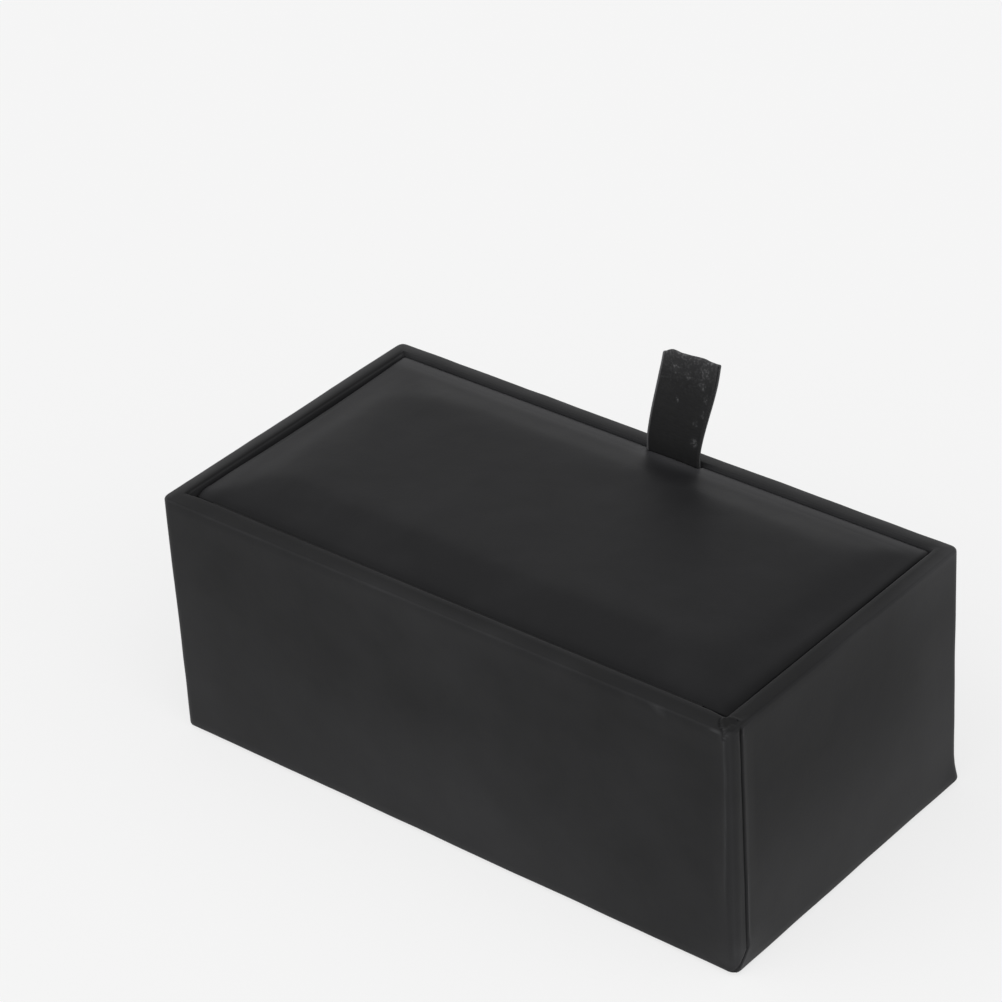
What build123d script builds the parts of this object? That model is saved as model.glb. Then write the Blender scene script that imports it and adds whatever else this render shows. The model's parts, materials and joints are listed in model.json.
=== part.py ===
"""Cufflink display box: a leatherette-covered board box with a padded lid set in its rim.

Millimetres. The origin is the middle of the underside, +Z is up and +X runs along the
length. The lid is hinged along the -Y wall, and its ribbon pull stands at the +Y wall.
"""
import os
from math import cos, radians, sin

from build123d import *

os.makedirs("parts", exist_ok=True)

# ---- driving dimensions ------------------------------------------------------------

box_length = 85.0  # outside, along X
box_depth = 44.8  # outside, along Y
box_height = 34.2  # table to rim

board = 1.5  # greyboard of the walls and the base
skin = 0.35  # leatherette sheet
velvet = 0.5  # pile cloth on the liners and the insert

corner_radius = 1.1  # covered upright edges
rim_outer_radius = 0.8
rim_inner_radius = 0.5
foot_radius = 0.3
turn_in = 9.0  # sheet turned down inside the walls
turn_under = 8.0  # sheet turned under the base
base_cover_inset = 1.6
board_fit = 0.1  # base board inside the walls
butt_gap = 0.1  # where the folded wall board's two ends meet

seam_width = 0.3  # where the two ends of the sheet meet
seam_depth = 0.2
seam_bend_height = 3.0

liner_board = 1.5
liner_edge_radius = 0.4
insert_height = 13.0  # foam block
insert_shoulder = 1.5
slit_length = 18.0
slit_width = 2.4
slit_depth = 9.0
slit_spacing = 38.0

lid_recess = 0.6  # rim to the top of the lid's edge
lid_edge = 3.7  # thickness of the lid's edge
lid_end_gap = 0.6
lid_pull_gap = 0.8
lid_board_thickness = 1.8
lid_corner_radius = 1.2
lid_shoulder = 1.0
lid_crown = 1.4  # rise of the padding over the lid's edge
lid_crown_band = 11.0  # width over which the padding rises
lid_turn_under = 7.0

lining_card = 0.8
lining_satin = 0.3
lining_clearance = 1.1  # lining to the liners round it

pivot_drop = 1.0  # lid's hinge line below the rim
strip_gap = 0.3  # between the hinge strip's two leaves
strip_margin = 3.0  # strip shorter than the lid at each end
wall_leaf_height = 7.5
lid_leaf_under = 6.0
fold_start = 105  # degrees round the hinge line, where the wall leaf's fold begins
strip_clearance = 0.06  # over the leaf and the ribbon, under the lid

ribbon_width = 7.8
ribbon_ply = 0.22
ribbon_offset = 3.2  # glued by hand, a little right of the middle
ribbon_tuck = 8.0  # glued under the lid board
ribbon_root = 0.35  # height of the bend over the rim
ribbon_bend_gap = 0.05
ribbon_length = 12.6  # bend to the top of the loop
ribbon_join = 4.0  # stretch where the two plies lie together
ribbon_loop_radius = 0.9
ribbon_lean = 16  # degrees back from upright

# ---- levels and spans that follow --------------------------------------------------

board_foot = 2 * skin  # over the base cover and the turned-under sheet
board_rim = box_height - skin
board_length = box_length - 2 * skin
board_depth = box_depth - 2 * skin
hollow_length = board_length - 2 * board
hollow_depth = board_depth - 2 * board
mouth_length = hollow_length - 2 * skin
mouth_depth = hollow_depth - 2 * skin
floor_top = board_foot + board

lid_top = box_height - lid_recess
lid_foot = lid_top - lid_edge
ledge = lid_foot  # the end liners carry the lid
strip_room = max(skin, 2 * ribbon_ply) + strip_clearance

hinge_wall_y = -mouth_depth / 2
pull_wall_y = mouth_depth / 2
pivot_y = hinge_wall_y + skin + strip_gap / 2
pivot_z = box_height - pivot_drop
lid_hinge_y = pivot_y + strip_gap / 2 + skin
lid_pull_y = pull_wall_y - lid_pull_gap
lid_mid_y = (lid_hinge_y + lid_pull_y) / 2
lid_depth = lid_pull_y - lid_hinge_y
lid_length = mouth_length - 2 * lid_end_gap
lid_board_top = lid_foot + skin + lid_board_thickness
strip_length = lid_length - 2 * strip_margin

liner = liner_board + velvet
well_length = mouth_length - 2 * liner
well_hinge_y = hinge_wall_y + skin + liner
well_pull_y = pull_wall_y - liner
well_mid_y = (well_hinge_y + well_pull_y) / 2
well_depth = well_pull_y - well_hinge_y

ribbon = 2 * ribbon_ply
ribbon_y = lid_pull_y + ribbon / 2
ribbon_z = box_height + ribbon_root

# ---- walls: one folded board, covered by one sheet ---------------------------------

# The board strip is folded at three corners. At the fourth, the end wall butts
# against the inside of the hinge wall.
with BuildPart() as wall_board:
    with BuildSketch(Plane.XY.offset(board_foot)):
        RectangleRounded(board_length, board_depth, corner_radius - skin)
        Rectangle(hollow_length, hollow_depth, mode=Mode.SUBTRACT)
    extrude(amount=board_rim - board_foot)
    with BuildSketch(Plane.XY.offset(board_foot)):
        with Locations((hollow_length / 2 + board / 2, -hollow_depth / 2)):
            Rectangle(2 * board, butt_gap, align=(Align.CENTER, Align.MIN))
    extrude(amount=board_rim - board_foot, mode=Mode.SUBTRACT)

with BuildPart() as wall_wrap:
    with BuildSketch(Plane.XY.offset(skin)):
        RectangleRounded(box_length, box_depth, corner_radius)
    extrude(amount=box_height - skin)
    foot_edges = wall_wrap.faces().sort_by(Axis.Z)[0].edges()
    fillet(foot_edges, foot_radius)
    with BuildSketch(Plane.XY.offset(box_height)):
        Rectangle(mouth_length, mouth_depth)
    extrude(amount=-turn_in, mode=Mode.SUBTRACT)
    rim = wall_wrap.faces().sort_by(Axis.Z)[-1]
    fillet(rim.outer_wire().edges(), rim_outer_radius)
    rim = wall_wrap.faces().filter_by(Axis.Z).sort_by(Axis.Z)[-1]
    fillet(rim.inner_wires()[0].edges(), rim_inner_radius)
    # room for the boards, and the open inside below the turned-in sheet
    with BuildSketch(Plane.XY.offset(board_foot)):
        RectangleRounded(board_length, board_depth, corner_radius - skin)
        Rectangle(hollow_length, hollow_depth, mode=Mode.SUBTRACT)
    extrude(amount=board_rim - board_foot, mode=Mode.SUBTRACT)
    with BuildSketch(Plane.XY.offset(board_foot)):
        Rectangle(hollow_length, hollow_depth)
    extrude(amount=box_height - turn_in - board_foot, mode=Mode.SUBTRACT)
    with BuildSketch(Plane.XY.offset(skin)):
        Rectangle(box_length - 2 * turn_under, box_depth - 2 * turn_under)
    extrude(amount=skin, mode=Mode.SUBTRACT)
    # seam: up the end face just behind the hinge wall's covered end, then over the rim
    seam_y = -box_depth / 2 + skin + board
    with BuildSketch(Plane.YZ.offset(box_length / 2)) as seam_line:
        with BuildLine():
            Polyline(
                (-box_depth / 2 + seam_width, 2 * skin),
                (seam_y, seam_bend_height),
                (seam_y, box_height),
            )
        trace(line_width=seam_width)
    extrude(amount=-seam_depth, mode=Mode.SUBTRACT)
    with BuildSketch(Plane.XY.offset(box_height)):
        with Locations((box_length / 2, seam_y)):
            Rectangle(2 * skin + board, seam_width, align=(Align.MAX, Align.CENTER))
    extrude(amount=-seam_depth, mode=Mode.SUBTRACT)

# ---- base ---------------------------------------------------------------------------

with BuildPart() as base_board:
    with BuildSketch(Plane.XY.offset(board_foot)):
        Rectangle(hollow_length - 2 * board_fit, hollow_depth - 2 * board_fit)
    extrude(amount=board)

# The sheet under the base hides the turned-under edges and is pressed up between them.
with BuildPart() as base_cover:
    with BuildSketch():
        RectangleRounded(
            box_length - 2 * base_cover_inset, box_depth - 2 * base_cover_inset, corner_radius
        )
    extrude(amount=skin)
    with BuildSketch(Plane.XY.offset(skin)):
        Rectangle(
            box_length - 2 * turn_under - 2 * board_fit,
            box_depth - 2 * turn_under - 2 * board_fit,
        )
    extrude(amount=skin)

# ---- liners: velvet-covered boards inside the walls, which make the lid's ledge -----


def wall_plane(x, y, along):
    """Plane on the floor at a wall's inner face: local X runs along it, Y into the box."""
    return Plane(origin=(x, y, floor_top), x_dir=along, z_dir=(0, 0, 1))


def liner_pair(face, length, top):
    """Board and velvet of one liner that stands on the given plane."""
    with BuildPart() as card:
        with BuildSketch(face):
            Rectangle(length, liner_board, align=(Align.CENTER, Align.MIN))
        extrude(amount=top - velvet - floor_top)
    with BuildPart() as cloth:
        with BuildSketch(face):
            Rectangle(length, liner, align=(Align.CENTER, Align.MIN))
        extrude(amount=top - floor_top)
        ledge_edges = cloth.faces().sort_by(Axis.Z)[-1].edges()
        inner_edge = ledge_edges.sort_by(lambda edge: face.to_local_coords(edge.center()).Y)[-1]
        fillet(inner_edge, liner_edge_radius)
        with BuildSketch(face):
            Rectangle(length, liner_board, align=(Align.CENTER, Align.MIN))
        extrude(amount=top - velvet - floor_top, mode=Mode.SUBTRACT)
    return card, cloth


hinge_side_liner_board, hinge_side_liner_velvet = liner_pair(
    wall_plane(0, hinge_wall_y + skin, (1, 0, 0)), mouth_length, ledge - strip_room
)
pull_side_liner_board, pull_side_liner_velvet = liner_pair(
    wall_plane(0, pull_wall_y, (-1, 0, 0)), mouth_length, ledge - strip_room
)
left_liner_board, left_liner_velvet = liner_pair(
    wall_plane(-mouth_length / 2, well_mid_y, (0, -1, 0)), well_depth, ledge
)
right_liner_board, right_liner_velvet = liner_pair(
    wall_plane(mouth_length / 2, well_mid_y, (0, 1, 0)), well_depth, ledge
)

# ---- insert: velvet over a foam block, slit for the cufflinks' stems ----------------

floor_plane = Plane(origin=(0, well_mid_y, floor_top))
slits = GridLocations(slit_spacing, 0, 2, 1)

with BuildPart() as insert_foam:
    with BuildSketch(floor_plane):
        Rectangle(well_length - 2 * velvet, well_depth - 2 * velvet)
    extrude(amount=insert_height)
    fillet(insert_foam.faces().sort_by(Axis.Z)[-1].edges(), insert_shoulder - velvet)
    with BuildSketch(floor_plane.offset(insert_height)):
        with slits:
            SlotOverall(slit_length + 2 * velvet, slit_width + 2 * velvet)
    extrude(amount=-slit_depth - velvet, mode=Mode.SUBTRACT)

with BuildPart() as insert_velvet:
    with BuildSketch(floor_plane):
        Rectangle(well_length, well_depth)
    extrude(amount=insert_height + velvet)
    fillet(insert_velvet.faces().sort_by(Axis.Z)[-1].edges(), insert_shoulder)
    with BuildSketch(floor_plane.offset(insert_height + velvet)):
        with slits:
            SlotOverall(slit_length, slit_width)
    extrude(amount=-velvet - slit_depth, mode=Mode.SUBTRACT)
    add(insert_foam.part, mode=Mode.SUBTRACT)

# ---- lid: board and foam under a leatherette cover, satin lining beneath ------------


def crown_section(across, span, inset):
    """Upright section of the padded lid: flat middle, falling bands, round shoulders."""
    half = span / 2
    normal = Vector(across).cross(Vector(0, 0, 1))
    with BuildSketch(Plane((0, lid_mid_y, 0), x_dir=across, z_dir=normal)) as section:
        with BuildLine():
            flat_end = half - lid_crown_band
            top = Line((-flat_end, lid_top + lid_crown), (flat_end, lid_top + lid_crown))
            right_band = TangentArc(top @ 1, (half, lid_top), tangent=top % 1)
            left_band = TangentArc(top @ 0, (-half, lid_top), tangent=-(top % 0))
            Polyline(right_band @ 1, (half, lid_foot), (-half, lid_foot), left_band @ 1)
        make_face()
        fillet(section.vertices().group_by(Axis.Y)[1], lid_shoulder)
        if inset:
            offset(amount=-inset, mode=Mode.REPLACE)
    return section.sketch


def lid_form(inset):
    """Crowned block of the lid, made smaller all round by the inset."""
    with BuildPart() as form:
        extrude(crown_section((1, 0, 0), lid_length, inset), amount=lid_depth / 2, both=True)
        extrude(
            crown_section((0, 1, 0), lid_depth, inset),
            amount=lid_length / 2,
            both=True,
            mode=Mode.INTERSECT,
        )
        with BuildSketch(Plane((0, lid_mid_y, lid_foot))) as outline:
            RectangleRounded(
                lid_length - 2 * inset, lid_depth - 2 * inset, lid_corner_radius - inset
            )
        extrude(outline.sketch, amount=lid_edge + lid_crown, mode=Mode.INTERSECT)
    return form.part


lid_core = lid_form(skin)
lid_parting = Plane((0, lid_mid_y, lid_board_top))

with BuildPart() as lid_board:
    add(lid_core)
    split(bisect_by=lid_parting, keep=Keep.BOTTOM)

with BuildPart() as lid_foam:
    add(lid_core)
    split(bisect_by=lid_parting, keep=Keep.TOP)

with BuildPart() as lid_cover:
    add(lid_form(0))
    add(lid_core, mode=Mode.SUBTRACT)
    with BuildSketch(Plane((0, lid_mid_y, lid_foot))):
        Rectangle(lid_length - 2 * lid_turn_under, lid_depth - 2 * lid_turn_under)
    extrude(amount=skin, mode=Mode.SUBTRACT)

lining_length = well_length - 2 * lining_clearance
lining_depth = well_depth - 2 * lining_clearance
lining_plane = Plane((0, well_mid_y, lid_foot))


def press_strip_beds():
    """Cut the beds that the hinge strip's leaf and the ribbon's tail press in the lining."""
    with BuildSketch(Plane((0, lid_hinge_y, lid_foot))) as leaf_bed:
        Rectangle(
            strip_length + 2 * strip_clearance,
            lid_leaf_under + strip_clearance,
            align=(Align.CENTER, Align.MIN),
        )
    extrude(leaf_bed.sketch, amount=-skin - strip_clearance, mode=Mode.SUBTRACT)
    with BuildSketch(Plane((ribbon_offset, lid_pull_y, lid_foot))) as tail_bed:
        Rectangle(
            ribbon_width + 2 * strip_clearance,
            ribbon_tuck + strip_clearance,
            align=(Align.CENTER, Align.MAX),
        )
    extrude(tail_bed.sketch, amount=-ribbon - strip_clearance, mode=Mode.SUBTRACT)


with BuildPart() as lid_lining_card:
    with BuildSketch(lining_plane):
        Rectangle(lining_length - 2 * lining_satin, lining_depth - 2 * lining_satin)
    extrude(amount=-lining_card)
    press_strip_beds()

with BuildPart() as lid_lining_satin:
    with BuildSketch(lining_plane):
        Rectangle(lining_length, lining_depth)
    extrude(amount=-lining_card - lining_satin)
    with BuildSketch(lining_plane):
        Rectangle(lining_length - 2 * lining_satin, lining_depth - 2 * lining_satin)
    extrude(amount=-lining_card, mode=Mode.SUBTRACT)
    press_strip_beds()

# ---- hinge strip: one leaf glued to the wall, the other round the lid's edge --------

with BuildPart() as strip_wall_leaf:
    with BuildSketch(Plane.YZ):
        with Locations((hinge_wall_y, pivot_z)):
            Rectangle(skin, wall_leaf_height, align=(Align.MIN, Align.MAX))
        with BuildLine():
            CenterArc((pivot_y, pivot_z), strip_gap / 2 + skin / 2, fold_start, 180 - fold_start)
        trace(line_width=skin)
    extrude(amount=strip_length / 2, both=True)

with BuildPart() as strip_lid_leaf:
    with BuildSketch(Plane.YZ):
        with Locations((lid_hinge_y, pivot_z)):
            Rectangle(skin, pivot_z - lid_foot + skin, align=(Align.MAX, Align.MAX))
        with Locations((lid_hinge_y, lid_foot)):
            Rectangle(lid_leaf_under, skin, align=(Align.MIN, Align.MAX))
    extrude(amount=strip_length / 2, both=True)

# ---- ribbon pull: a doubled tail under the lid, and the loop above its bend ---------

with BuildPart() as ribbon_tail:
    with BuildSketch(Plane.YZ.offset(ribbon_offset)):
        with Locations((lid_pull_y, lid_foot)):
            Rectangle(ribbon_tuck, ribbon, align=(Align.MAX, Align.MAX))
        with Locations((lid_pull_y, ribbon_z - ribbon_ply - ribbon_bend_gap)):
            Rectangle(
                ribbon,
                ribbon_z - ribbon_ply - ribbon_bend_gap - lid_foot + ribbon,
                align=(Align.MIN, Align.MAX),
            )
    extrude(amount=ribbon_width / 2, both=True)

lean = radians(ribbon_lean)
ribbon_plane = Plane(
    origin=(ribbon_offset, ribbon_y, ribbon_z), x_dir=(0, cos(lean), -sin(lean)), z_dir=(1, 0, 0)
)
loop_top = ribbon_length - ribbon_loop_radius

with BuildPart() as ribbon_tab:
    with BuildSketch(ribbon_plane):
        Circle(ribbon_ply)
        with Locations((0, loop_top)):
            Circle(ribbon_loop_radius)
        make_hull()
    extrude(amount=ribbon_width / 2, both=True)
    with BuildSketch(ribbon_plane):
        with Locations((0, ribbon_join)):
            Circle(ribbon_ply / 4)
        with Locations((0, loop_top)):
            Circle(ribbon_loop_radius - ribbon_ply)
        make_hull()
    extrude(amount=ribbon_width / 2, both=True, mode=Mode.SUBTRACT)

# ---- write each piece ----------------------------------------------------------------

pieces = {
    "wall_board": wall_board,
    "wall_wrap": wall_wrap,
    "base_board": base_board,
    "base_cover": base_cover,
    "hinge_side_liner_board": hinge_side_liner_board,
    "hinge_side_liner_velvet": hinge_side_liner_velvet,
    "pull_side_liner_board": pull_side_liner_board,
    "pull_side_liner_velvet": pull_side_liner_velvet,
    "left_liner_board": left_liner_board,
    "left_liner_velvet": left_liner_velvet,
    "right_liner_board": right_liner_board,
    "right_liner_velvet": right_liner_velvet,
    "insert_foam": insert_foam,
    "insert_velvet": insert_velvet,
    "strip_wall_leaf": strip_wall_leaf,
    "strip_lid_leaf": strip_lid_leaf,
    "lid_board": lid_board,
    "lid_foam": lid_foam,
    "lid_cover": lid_cover,
    "lid_lining_card": lid_lining_card,
    "lid_lining_satin": lid_lining_satin,
    "ribbon_tail": ribbon_tail,
    "ribbon_tab": ribbon_tab,
}
for name, piece in pieces.items():
    piece.part.label = name
    export_step(piece.part, f"parts/{name}.step")
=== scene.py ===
"""Cufflink display box: coverings, padding, cloth, ribbon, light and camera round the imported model.

Metres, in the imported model's own frame: +X along the box, +Z up, the lid hinged at -Y. Front
is -Y and the right end is +X.
"""
import json
from math import atan2, cos, hypot, radians, sin, sqrt

import bmesh
import bpy
from mathutils import Matrix, Vector, noise


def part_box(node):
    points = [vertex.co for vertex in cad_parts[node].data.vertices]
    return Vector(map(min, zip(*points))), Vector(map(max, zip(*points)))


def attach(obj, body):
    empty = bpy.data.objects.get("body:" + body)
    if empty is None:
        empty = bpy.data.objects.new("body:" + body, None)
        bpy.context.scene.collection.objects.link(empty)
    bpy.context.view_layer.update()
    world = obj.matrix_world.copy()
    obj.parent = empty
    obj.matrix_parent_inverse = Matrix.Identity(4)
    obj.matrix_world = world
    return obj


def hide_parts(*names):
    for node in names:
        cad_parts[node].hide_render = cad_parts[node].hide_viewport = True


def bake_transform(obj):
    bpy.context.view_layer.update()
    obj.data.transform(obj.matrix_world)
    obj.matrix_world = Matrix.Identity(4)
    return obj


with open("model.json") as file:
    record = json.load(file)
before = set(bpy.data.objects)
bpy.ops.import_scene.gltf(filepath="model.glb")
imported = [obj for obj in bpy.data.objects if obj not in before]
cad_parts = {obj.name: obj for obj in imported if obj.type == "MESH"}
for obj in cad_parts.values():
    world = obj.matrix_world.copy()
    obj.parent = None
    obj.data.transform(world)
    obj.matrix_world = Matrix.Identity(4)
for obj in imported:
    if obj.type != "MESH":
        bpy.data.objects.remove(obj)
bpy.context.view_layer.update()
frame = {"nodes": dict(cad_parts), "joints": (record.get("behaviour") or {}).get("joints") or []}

MM = 0.001

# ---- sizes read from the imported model, and the sheet goods' own ------------------------

COVER_LOW, COVER_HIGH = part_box("wall_wrap")
RIM_Z = COVER_HIGH.z
MOUTH_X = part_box("pull_side_liner_velvet")[1].x
MOUTH_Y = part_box("pull_side_liner_velvet")[1].y
RIM_WIDTH = COVER_HIGH.x - MOUTH_X
PAD_LOW, PAD_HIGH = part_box("lid_cover")
BOARD_TOP_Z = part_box("lid_board")[1].z
WALL_LEAF_LOW, WALL_LEAF_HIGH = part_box("strip_wall_leaf")
LID_LEAF_LOW, LID_LEAF_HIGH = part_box("strip_lid_leaf")
TAIL_LOW, TAIL_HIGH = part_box("ribbon_tail")

SKIN = 0.35 * MM
VELVET = 0.5 * MM
PLY = 0.22 * MM
TURN_IN = 9.0 * MM
TURN_UNDER = 8.0 * MM
CROWN = 1.4 * MM
CROWN_BAND = 11.0 * MM
HINGE = Vector(frame["joints"][0]["pos_m"])
BEND = Vector(frame["joints"][1]["pos_m"])


# ---- modelling helpers ------------------------------------------------------------------


def only(piece):
    """Select this piece alone and make it the active one."""
    bpy.ops.object.select_all(action="DESELECT")
    piece.select_set(True)
    bpy.context.view_layer.objects.active = piece


def open_mesh(piece):
    """Start shaping this piece in edit mode."""
    only(piece)
    bpy.ops.object.mode_set(mode="EDIT")


def close_mesh():
    """Go back to object mode, where modifiers are applied."""
    bpy.ops.object.mode_set(mode="OBJECT")


def block(name, low, high):
    """A cube between two corners, with its place in its mesh."""
    low, high = Vector(low), Vector(high)
    bpy.ops.object.select_all(action="DESELECT")
    bpy.ops.mesh.primitive_cube_add(size=1, location=(low + high) / 2)
    piece = bpy.context.object
    piece.name = name
    piece.scale = high - low
    bpy.ops.object.transform_apply(location=True, rotation=True, scale=True)
    return piece


def middle(part):
    """The mean place of a face's or an edge's points."""
    return sum((v.co for v in part.verts), Vector()) / len(part.verts)


def runs(edge, axis):
    """Does this edge run along the axis?"""
    along = edge.verts[1].co - edge.verts[0].co
    return abs(along[axis]) > 0.999 * along.length


def level(edge, z):
    """Do both of this edge's ends lie at that height?"""
    return all(abs(v.co.z - z) < 1e-6 for v in edge.verts)


def sharp(edge, angle=0.5):
    """Do two faces meet at this edge at more than the angle, in radians?"""
    return len(edge.link_faces) == 2 and edge.calc_face_angle() > angle


def choose(piece, kind, test):
    """In the open mesh, select only the faces, edges or points that pass the test."""
    bpy.ops.mesh.select_mode(type=kind)
    bpy.ops.mesh.select_all(action="DESELECT")
    mesh = bmesh.from_edit_mesh(piece.data)
    parts = {"FACE": mesh.faces, "EDGE": mesh.edges, "VERT": mesh.verts}[kind]
    for part in parts:
        if test(part):
            part.select_set(True)
    mesh.select_flush_mode()
    bmesh.update_edit_mesh(piece.data)


def slice_mesh(piece, point, normal, test=None):
    """Cut new edges where a plane crosses the open mesh, or only the faces that pass the test."""
    if test:
        choose(piece, "FACE", test)
    else:
        bpy.ops.mesh.select_mode(type="FACE")
        bpy.ops.mesh.select_all(action="SELECT")
    bpy.ops.mesh.bisect(plane_co=point, plane_no=normal)


def slice_evenly(piece, step, low, high, axes=(0, 1, 2), test=None):
    """Cut the open mesh across each axis about a step apart, from one corner to the other."""
    for axis in axes:
        normal = [0, 0, 0]
        normal[axis] = 1
        count = round((high[axis] - low[axis]) / step)
        for k in range(1, count):
            point = [0, 0, 0]
            point[axis] = low[axis] + (high[axis] - low[axis]) * k / count
            slice_mesh(piece, point, normal, test)


def apply_modifier(piece, kind, **settings):
    """Add a modifier with these settings and apply it."""
    only(piece)
    modifier = piece.modifiers.new(kind.title(), kind)
    for key, value in settings.items():
        setattr(modifier, key, value)
    bpy.ops.object.modifier_apply(modifier=modifier.name)


def group(piece, name, weight):
    """A vertex group whose weights come from each point's place."""
    made = piece.vertex_groups.new(name=name)
    for vertex in piece.data.vertices:
        made.add([vertex.index], max(0.0, min(1.0, weight(vertex.co))), "REPLACE")
    return name


def ripple(piece, size, depth, weight=None, detail=1):
    """Push the surface in and out by a soft cloud pattern, of that size and full depth."""
    texture = bpy.data.textures.new(piece.name + "_ripple", "CLOUDS")
    texture.noise_scale = size
    texture.noise_depth = detail
    settings = {"texture": texture, "strength": depth, "mid_level": 0.5}
    if weight:
        settings["vertex_group"] = group(piece, "rippled", weight)
    apply_modifier(piece, "DISPLACE", texture_coords="LOCAL", **settings)
    if weight:
        piece.vertex_groups.remove(piece.vertex_groups["rippled"])


def press(piece, shift):
    """Move each point by what shift gives for its place and normal."""
    moves = [shift(v.co.copy(), v.normal.copy()) for v in piece.data.vertices]
    for vertex, move in zip(piece.data.vertices, moves):
        if move:
            vertex.co += move
    piece.data.update()


def mark(piece, name, amount):
    """Store a number on each point, for the material to read."""
    layer = piece.data.attributes.new(name, "FLOAT", "POINT")
    for vertex in piece.data.vertices:
        layer.data[vertex.index].value = amount(vertex.co, vertex.normal)


def smooth(piece, angle=40):
    """Shade the piece smooth, but for edges sharper than the angle in degrees."""
    only(piece)
    bpy.ops.object.shade_smooth_by_angle(angle=radians(angle))


def hump(distance, width):
    """1 at the line, falling smoothly to 0 at the given distance from it."""
    share = min(1.0, abs(distance) / width)
    return (1 - share * share) ** 2


def ramp(value, start, end):
    """0 before start, 1 after end, smooth between."""
    share = max(0.0, min(1.0, (value - start) / (end - start)))
    return share * share * (3 - 2 * share)


def line(start, end, step):
    """Points from start to end, a step apart, without the last."""
    start, end = Vector(start), Vector(end)
    count = max(1, round((end - start).length / step))
    return [start.lerp(end, k / count) for k in range(count)]


def arc(centre, radius, start, end, count):
    """Points round a centre, from one angle in degrees to another, without the last."""
    angles = [radians(start + (end - start) * k / count) for k in range(count)]
    return [Vector(centre) + radius * Vector((cos(angle), sin(angle))) for angle in angles]


def draw_strip(name, centre_x, width, path, columns):
    """A sheet that follows a side path of (Y, Z) points, drawn out edge by edge."""
    first, second = Vector((0, *path[0])), Vector((0, *path[1]))
    step = second - first
    bpy.ops.object.select_all(action="DESELECT")
    bpy.ops.mesh.primitive_grid_add(x_subdivisions=columns, y_subdivisions=1, size=1)
    strip = bpy.context.object
    strip.name = name
    strip.scale = (width, step.length, 1)
    strip.rotation_euler = (atan2(step.z, step.y), 0, 0)
    strip.location = (first + second) / 2 + Vector((centre_x, 0, 0))
    bpy.ops.object.transform_apply(location=True, rotation=True, scale=True)
    open_mesh(strip)
    choose(
        strip,
        "EDGE",
        lambda e: all((Vector((0, v.co.y, v.co.z)) - second).length < 1e-6 for v in e.verts),
    )
    for here, there in zip(path[1:], path[2:]):
        shift = (0, there[0] - here[0], there[1] - here[1])
        bpy.ops.mesh.extrude_region_move(TRANSFORM_OT_translate={"value": shift})
    close_mesh()
    return strip


CLOTH_SCALE = 20  # the cloth runs at this size, where the solver's own limits don't matter
CLOTH_FRAMES = 20


def inflate(piece, held, pressure, cap):
    """Let the padding push its covering out: a short cloth run, held where held is 1.

    No point ends more than cap from where it started.
    """
    rest = [v.co.copy() for v in piece.data.vertices]
    group(piece, "held", held)
    only(piece)
    piece.scale = [CLOTH_SCALE] * 3
    bpy.ops.object.transform_apply(location=False, rotation=False, scale=True)
    cloth = piece.modifiers.new("Cloth", "CLOTH")
    cloth.settings.vertex_group_mass = "held"
    cloth.settings.quality = 5
    cloth.settings.mass = 0.1
    cloth.settings.use_pressure = True
    cloth.settings.uniform_pressure_force = pressure
    cloth.settings.effector_weights.gravity = 0
    cloth.point_cache.frame_start = 1
    cloth.point_cache.frame_end = CLOTH_FRAMES
    for number in range(1, CLOTH_FRAMES + 1):
        bpy.context.scene.frame_set(number)
    only(piece)
    bpy.ops.object.modifier_apply(modifier=cloth.name)
    bpy.context.scene.frame_set(1)
    piece.scale = [1 / CLOTH_SCALE] * 3
    bpy.ops.object.transform_apply(location=False, rotation=False, scale=True)
    piece.vertex_groups.clear()
    furthest = 0.0
    for vertex, start in zip(piece.data.vertices, rest):
        move = vertex.co - start
        furthest = max(furthest, move.length)
        if move.length > cap:
            move *= cap / move.length
        vertex.co = start + move
    piece.data.update()
    print("INFLATED", piece.name, len(rest), "points, furthest", round(furthest / MM, 3), "mm")


def copy_of(piece, name):
    """A copy with its own mesh."""
    only(piece)
    bpy.ops.object.duplicate()
    made = bpy.context.object
    made.name = name
    return made


def coat(piece, finish):
    """Give a piece this finish alone."""
    piece.data.materials.clear()
    piece.data.materials.append(finish)


def finish_piece(piece, body, material, slot, *nodes):
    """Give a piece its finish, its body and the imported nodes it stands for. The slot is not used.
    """
    coat(piece, material)
    if body:
        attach(piece, body)
    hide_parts(*nodes)


# ---- finishes ----------------------------------------------------------------------------


class Wire:
    """A node's output. Sums written with it add their Math nodes."""

    def __init__(self, bench, socket):
        self.bench = bench
        self.socket = socket

    def __add__(self, other):
        return self.bench.math("ADD", self, other)

    def __radd__(self, other):
        return self.bench.math("ADD", other, self)

    def __sub__(self, other):
        return self.bench.math("SUBTRACT", self, other)

    def __rsub__(self, other):
        return self.bench.math("SUBTRACT", other, self)

    def __mul__(self, other):
        return self.bench.math("MULTIPLY", self, other)

    def __rmul__(self, other):
        return self.bench.math("MULTIPLY", other, self)

    def __truediv__(self, other):
        return self.bench.math("DIVIDE", self, other)

    def __pow__(self, other):
        return self.bench.math("POWER", self, other)

    def above(self, level):
        return self.bench.math("GREATER_THAN", self, level)

    def clipped(self):
        """The same value, held between 0 and 1."""
        return self.bench.node(
            "ShaderNodeMath", {0: self, 1: 0.0}, operation="ADD", use_clamp=True
        )


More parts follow.
